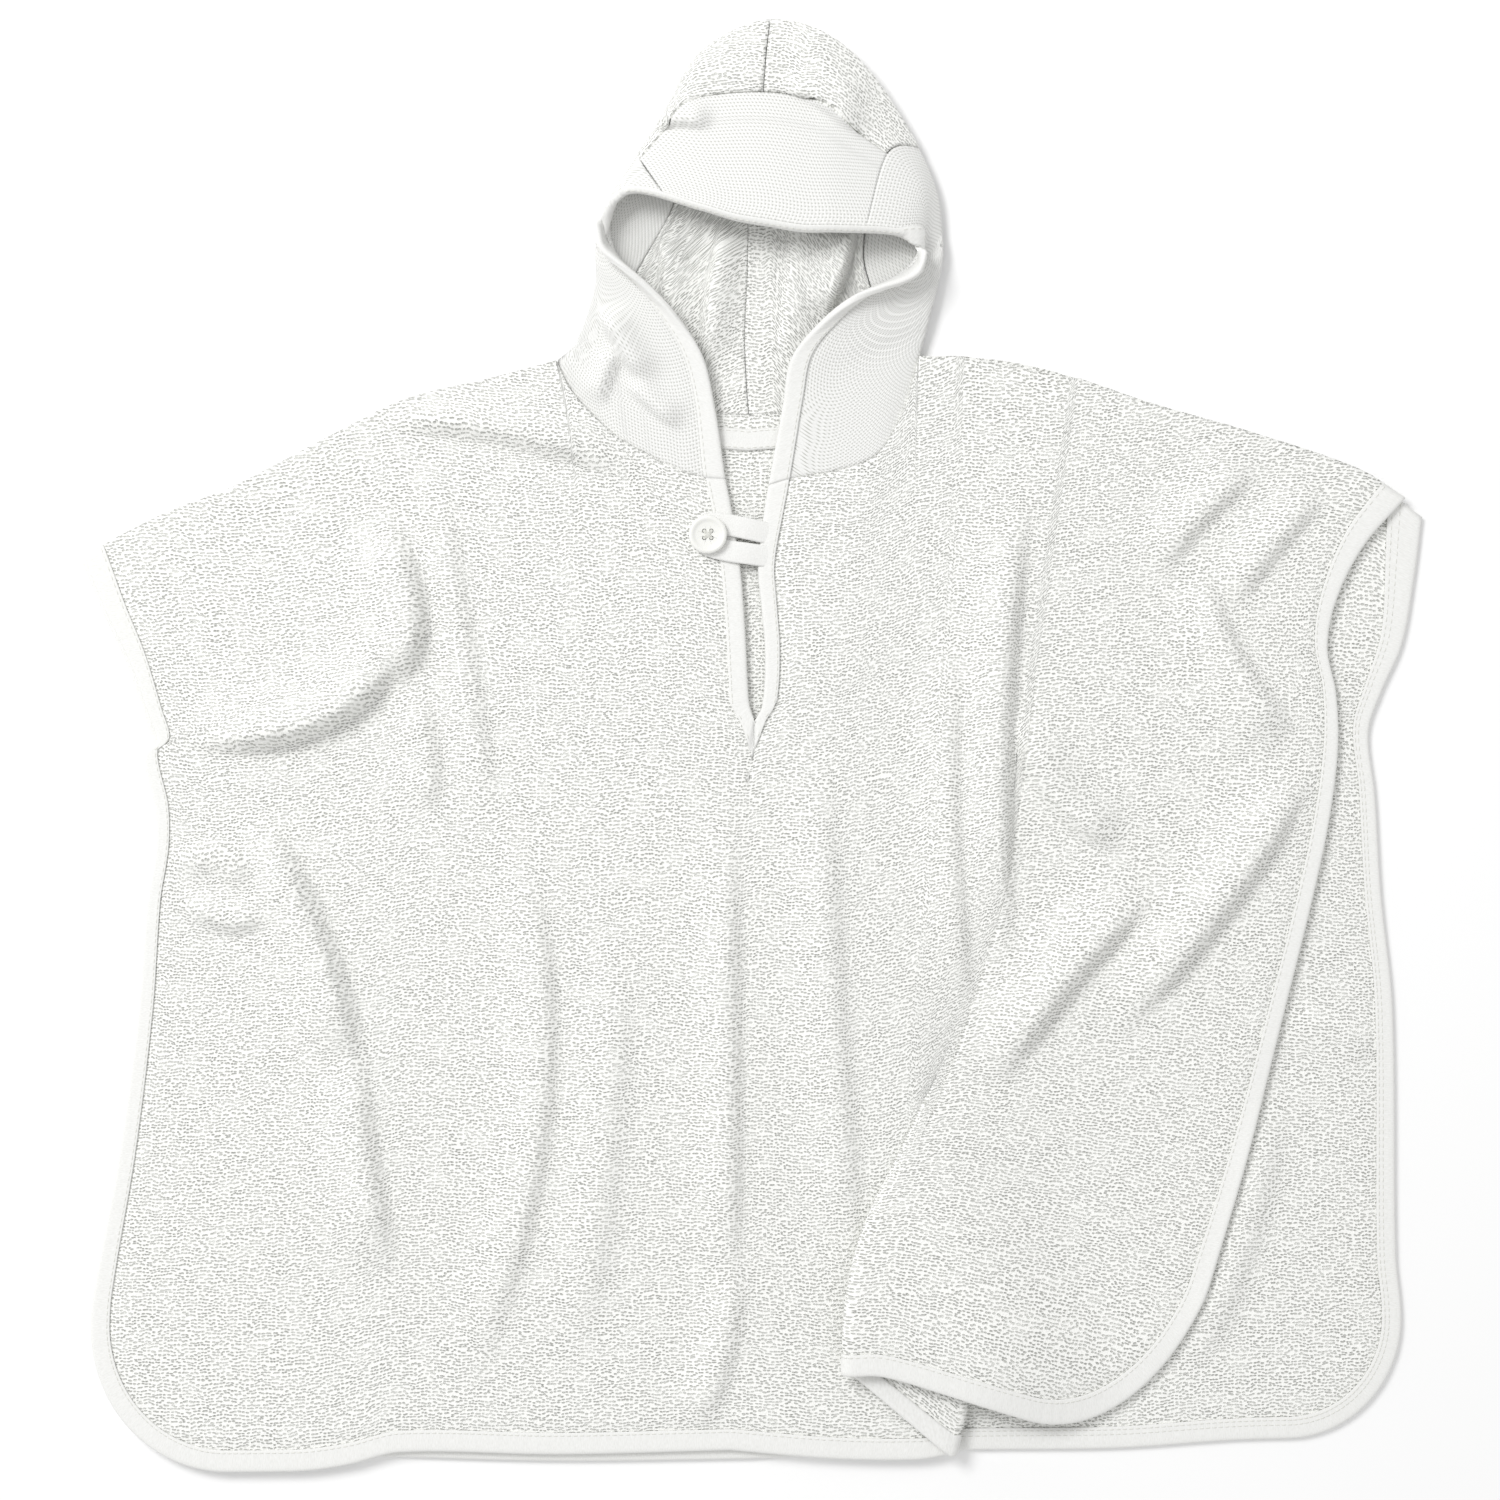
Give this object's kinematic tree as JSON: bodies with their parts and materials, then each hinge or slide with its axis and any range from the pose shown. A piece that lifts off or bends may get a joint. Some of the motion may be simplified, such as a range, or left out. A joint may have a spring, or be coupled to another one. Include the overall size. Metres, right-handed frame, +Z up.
{
  "type": "hooded bath poncho",
  "caption": "Child's terry bath poncho laid flat front side up, with open-weave banded hood, bound edges, and a neck slit closed by a button in a fabric loop.",
  "frame": {"origin": "middle of the whole outline, on the surface that the poncho lies on", "axes": "+Y from the hem to the crown of the hood, +X to the right as seen from above, +Z up, out of the front"},
  "size_m": [0.6324, 0.6818, 0.0285],
  "materials": {
    "terry": "looped terry towelling, cream white",
    "open_weave": "open basket weave, white",
    "binding_tape": "smooth folded cotton tape, white",
    "button_plastic": "satin white plastic",
    "thread": "white cotton sewing thread"
  },
  "bodies": {
    "root": {"front_panel": "terry", "front_edge_binding": "binding_tape", "slit_binding": "binding_tape", "back_panel": "terry", "back_edge_binding": "binding_tape", "neck_tape": "binding_tape", "hood_left": "terry", "hood_right": "terry", "hood_band": "open_weave", "hood_binding": "binding_tape", "button_loop": "binding_tape", "button": "button_plastic", "button_thread": "thread"}
  },
  "joints": []
}
